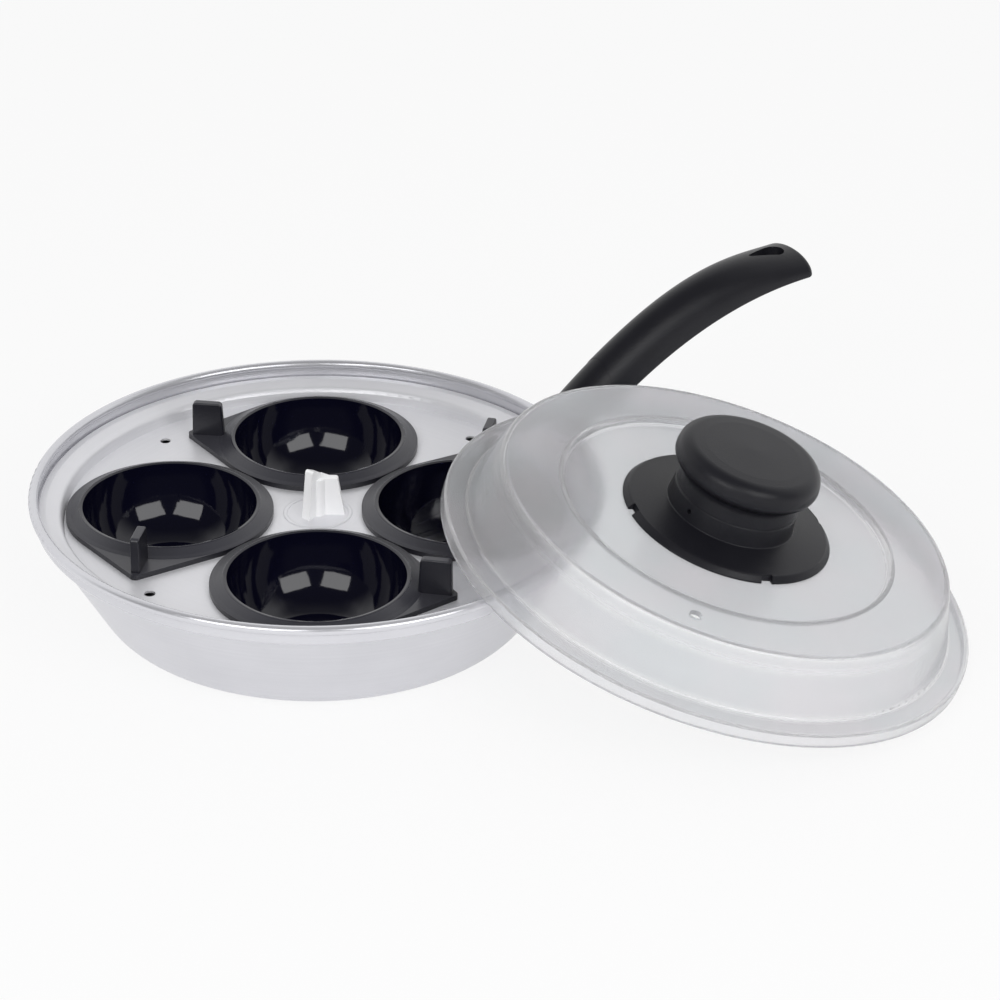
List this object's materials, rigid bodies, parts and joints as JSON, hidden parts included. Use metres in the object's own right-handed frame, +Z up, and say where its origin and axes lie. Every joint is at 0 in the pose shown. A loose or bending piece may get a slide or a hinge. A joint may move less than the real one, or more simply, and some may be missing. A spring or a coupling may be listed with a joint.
{
  "type": "egg poacher pan",
  "caption": "Shallow aluminium pan with a plate of lift-out egg cups, an arched handle and a translucent lid with a round knob, shown leaning on the rim.",
  "frame": {"origin": "centre of the pan's flat base, on the surface it stands on", "axes": "+Z up out of the pan, +X along the handle from the pan to its tip"},
  "size_m": [0.3295, 0.3073, 0.0858],
  "materials": {
    "spun_aluminium": "satin",
    "plate_aluminium": "satin",
    "rivet_aluminium": "satin",
    "bracket_steel": "brushed",
    "screw_steel": "satin",
    "black_phenolic": "satin",
    "black_cup_plastic": "gloss",
    "white_plastic": "satin",
    "milky_plastic": "satin"
  },
  "bodies": {
    "pan": {"pan_body": "spun_aluminium", "handle_bracket": "bracket_steel", "bracket_rivet_1": "rivet_aluminium", "bracket_rivet_2": "rivet_aluminium", "handle_ferrule": "black_phenolic", "handle": "black_phenolic", "handle_screw": "screw_steel"},
    "plate": {"cup_plate": "plate_aluminium", "lifter_post": "white_plastic", "post_washer": "screw_steel", "post_screw": "screw_steel"},
    "cup_1": {"egg_cup_1": "black_cup_plastic"},
    "cup_2": {"egg_cup_2": "black_cup_plastic"},
    "cup_3": {"egg_cup_3": "black_cup_plastic"},
    "cup_4": {"egg_cup_4": "black_cup_plastic"},
    "lid": {"lid": "milky_plastic", "knob_skirt": "black_phenolic", "knob": "black_phenolic", "knob_washer": "screw_steel", "knob_screw": "screw_steel"}
  },
  "joints": [
    {"name": "plate_lift", "type": "slide", "parent": "pan", "child": "plate", "axis": [0, 0, 1], "range_m": [0, 0.06]},
    {"name": "cup_1_lift", "type": "slide", "parent": "plate", "child": "cup_1", "axis": [0, 0, 1], "range_m": [0, 0.008]},
    {"name": "cup_2_lift", "type": "slide", "parent": "plate", "child": "cup_2", "axis": [0, 0, 1], "range_m": [0, 0.05]},
    {"name": "cup_3_lift", "type": "slide", "parent": "plate", "child": "cup_3", "axis": [0, 0, 1], "range_m": [0, 0.05]},
    {"name": "cup_4_lift", "type": "slide", "parent": "plate", "child": "cup_4", "axis": [0, 0, 1], "range_m": [0, 0.05]},
    {"name": "lid_lift", "type": "slide", "parent": "cup_4", "child": "lid", "axis": [0, 0, 1], "range_m": [0, 0.15]}
  ]
}
